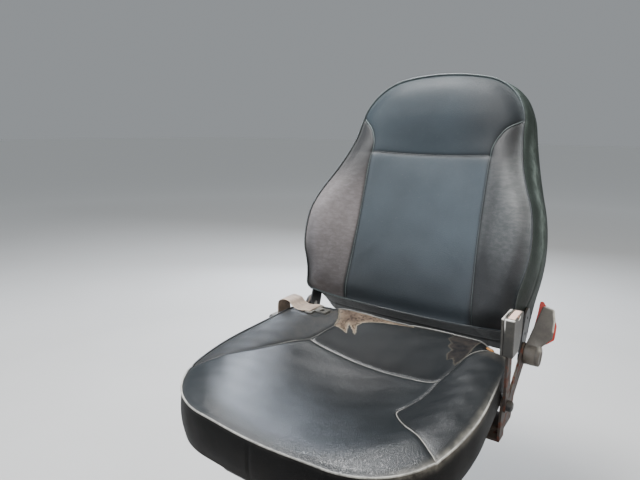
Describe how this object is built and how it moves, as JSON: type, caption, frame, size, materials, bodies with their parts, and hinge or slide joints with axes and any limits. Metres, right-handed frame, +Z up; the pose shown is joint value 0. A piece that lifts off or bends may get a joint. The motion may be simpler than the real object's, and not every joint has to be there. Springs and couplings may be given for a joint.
{
  "type": "operator seat of a telehandler",
  "caption": "Bucket-shaped vinyl operator seat with a reclining backrest, belt buckle and reel, on slide rails over an open scissor suspension.",
  "frame": {"origin": "middle of the four floor bolt holes, on the underside of the base", "axes": "+Z up, the sitter faces -Y, so +X is the sitter's left"},
  "size_m": [0.5773, 0.7044, 0.8729],
  "materials": {
    "black_paint": "satin black enamel, dusty",
    "bare_steel": "zinc-plated steel, dulled",
    "spring_steel": "phosphated spring steel",
    "nylon": "natural nylon",
    "black_plastic": "moulded black plastic",
    "rusted_paint": "worn paint with brown rust",
    "damper_paint": "gloss black paint",
    "black_vinyl": "grained black vinyl, scuffed and dusty",
    "grey_plastic": "moulded grey plastic, dusty",
    "red_plastic": "moulded red plastic",
    "faded_red_plastic": "sun-faded red plastic",
    "webbing": "woven belt webbing, dusty"
  },
  "bodies": {
    "base": {"base_side_left": "black_paint", "base_side_right": "black_paint", "base_cross_front": "black_paint", "base_cross_rear": "black_paint", "upper_side_left": "black_paint", "upper_side_right": "black_paint", "upper_cross_front": "black_paint", "upper_cross_rear": "black_paint", "arm_outer_left": "black_paint", "arm_outer_right": "black_paint", "arm_inner_left": "black_paint", "arm_inner_right": "black_paint", "outer_tube": "black_paint", "inner_tube": "black_paint", "shaft_low_front": "bare_steel", "shaft_low_rear": "bare_steel", "shaft_high_front": "bare_steel", "shaft_high_rear": "bare_steel", "centre_pins": "bare_steel", "spring_yoke": "bare_steel", "adjuster_screw": "bare_steel", "lower_rail_left": "bare_steel", "lower_rail_right": "bare_steel", "damper_rod": "bare_steel", "damper_body": "damper_paint", "spring_left": "spring_steel", "spring_right": "spring_steel", "rollers_low": "nylon", "rollers_high": "nylon", "adjuster_knob": "black_plastic"},
    "seat": {"seat_pan": "black_paint", "slide_lever": "black_paint", "upper_rail_left": "bare_steel", "upper_rail_right": "bare_steel", "hinge_pin_left": "bare_steel", "hinge_pin_right": "bare_steel", "belt_tongue": "bare_steel", "recliner_cap": "black_plastic", "belt_buckle": "black_plastic", "belt_reel": "black_plastic", "anchor_bolt": "black_plastic", "recliner_plate_left": "rusted_paint", "recliner_plate_right": "rusted_paint", "anchor_plate": "rusted_paint", "buckle_stalk": "rusted_paint", "cushion": "black_vinyl", "recliner_lever": "grey_plastic", "recliner_lever_red": "red_plastic", "buckle_button": "faded_red_plastic", "belt_webbing": "webbing"},
    "backrest": {"back_cushion": "black_vinyl", "back_shell": "black_plastic", "back_arm_left": "black_paint", "back_arm_right": "black_paint"}
  },
  "joints": [
    {"name": "fore_aft", "type": "slide", "parent": "base", "child": "seat", "axis": [0, -1, 0], "range_m": [-0.075, 0.075]},
    {"name": "recline", "type": "hinge", "parent": "seat", "child": "backrest", "pos_m": [0, 0.194, 0.351], "axis": [-1, 0, 0], "range_deg": [-8, 25]}
  ]
}
